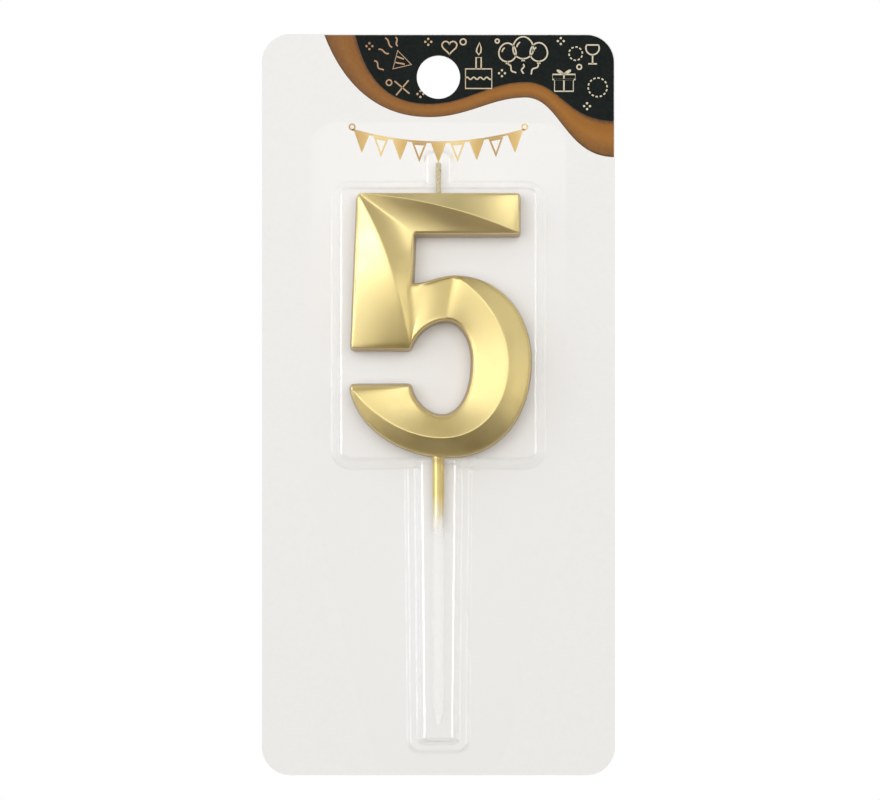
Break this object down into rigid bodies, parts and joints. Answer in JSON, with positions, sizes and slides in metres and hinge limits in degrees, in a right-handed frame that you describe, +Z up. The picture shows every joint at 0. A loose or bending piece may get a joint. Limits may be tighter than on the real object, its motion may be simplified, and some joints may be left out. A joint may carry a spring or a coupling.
{
  "type": "number birthday candle in a hanging pack",
  "caption": "Faceted gold numeral five candle with a wick and a cake pick, on a printed hanging card under a clear blister that peels open.",
  "frame": {"origin": "centre of the hang hole on the back face of the card", "axes": "+Z up along the card's long side, the front of the pack faces -Y, +X to the right seen from the front"},
  "size_m": [0.09, 0.0155, 0.189],
  "materials": {
    "card": "smooth coated board with printed ink",
    "clear_sheet": "clear gloss thermoformed sheet",
    "gold_wax": "paraffin wax under a satin metallic gold lacquer",
    "wick_cotton": "waxed braided cotton",
    "pick_plastic": "translucent white plastic, gold overspray at the top"
  },
  "bodies": {
    "card": {"backing_card": "card"},
    "cover": {"blister": "clear_sheet"},
    "candle": {"wax_numeral": "gold_wax", "wick": "wick_cotton", "pick": "pick_plastic"}
  },
  "joints": [
    {"name": "peel", "type": "hinge", "parent": "card", "child": "cover", "pos_m": [0, -0.00095, -0.0116], "axis": [-1, 0, 0], "range_deg": [0, 110]},
    {"name": "take_out", "type": "slide", "parent": "card", "child": "candle", "axis": [0, -1, 0], "range_m": [0, 0.02]}
  ],
  "couplings": [
    {"joint": "take_out", "follows": "peel", "m_per_rad": 0.0104}
  ]
}
